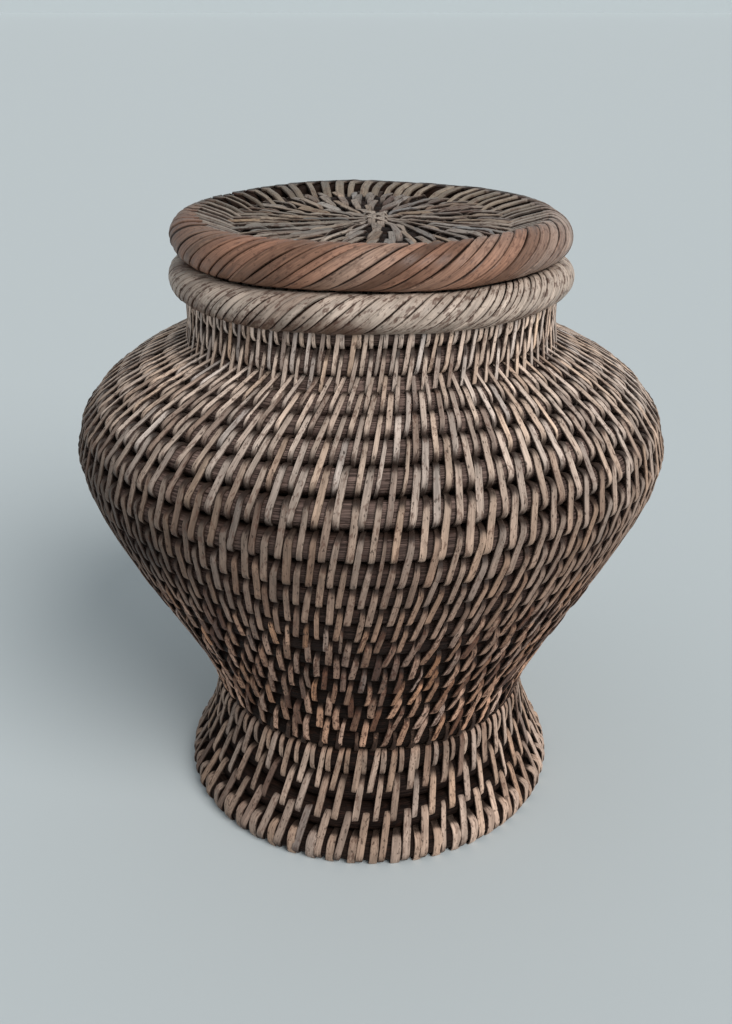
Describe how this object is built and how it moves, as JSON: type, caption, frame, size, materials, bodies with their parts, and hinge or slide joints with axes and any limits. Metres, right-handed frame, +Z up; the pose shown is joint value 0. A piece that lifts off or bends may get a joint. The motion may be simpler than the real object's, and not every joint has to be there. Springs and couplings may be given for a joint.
{
  "type": "lidded storage basket",
  "caption": "Round coiled rattan storage basket with a flared foot, a bulging body, a short neck with a wrapped rim, and a lift-off coiled lid.",
  "frame": {"origin": "centre of the foot's underside, on the basket's axis", "axes": "+Z up along the basket's axis; -Y is the side seen first"},
  "size_m": [0.2576, 0.2576, 0.277],
  "materials": {
    "foot_cane": "bleached split-cane binding over near-black cane, dry and dusty",
    "body_cane": "tan split-cane binding with dark pits over dark grey-brown cane, dry",
    "neck_cane": "tan split-cane binding over dark cane, dry",
    "lid_cane": "grey-tan split-cane binding over dark cane, weathered",
    "hoop_cane": "plain round cane, hidden by the wrapping",
    "rim_strip": "pale tan split cane wrapped obliquely, lightly polished by handling",
    "lid_strip": "reddish-brown split cane wrapped obliquely, polished by handling"
  },
  "bodies": {
    "basket": {"foot_coil_1": "foot_cane", "foot_coil_2": "foot_cane", "foot_coil_3": "foot_cane", "foot_coil_4": "foot_cane", "floor_centre": "body_cane", "floor_coil_1": "body_cane", "floor_coil_2": "body_cane", "floor_coil_3": "body_cane", "floor_coil_4": "body_cane", "floor_coil_5": "body_cane", "body_coil_01": "body_cane", "body_coil_02": "body_cane", "body_coil_03": "body_cane", "body_coil_04": "body_cane", "body_coil_05": "body_cane", "body_coil_06": "body_cane", "body_coil_07": "body_cane", "body_coil_08": "body_cane", "body_coil_09": "body_cane", "body_coil_10": "body_cane", "body_coil_11": "body_cane", "body_coil_12": "body_cane", "body_coil_13": "body_cane", "body_coil_14": "body_cane", "body_coil_15": "body_cane", "body_coil_16": "body_cane", "body_coil_17": "body_cane", "body_coil_18": "body_cane", "body_coil_19": "body_cane", "neck_coil_1": "neck_cane", "neck_coil_2": "neck_cane", "rim_hoop_core": "hoop_cane", "rim_hoop_wrap": "rim_strip"},
    "lid": {"lid_centre": "lid_cane", "lid_coil_1": "lid_cane", "lid_coil_2": "lid_cane", "lid_coil_3": "lid_cane", "lid_coil_4": "lid_cane", "lid_coil_5": "lid_cane", "lid_collar": "lid_cane", "lid_hoop_core": "hoop_cane", "lid_hoop_wrap": "lid_strip"}
  },
  "joints": [
    {"name": "lid_lift", "type": "slide", "parent": "basket", "child": "lid", "axis": [0, 0, 1], "range_m": [0, 0.12]}
  ]
}
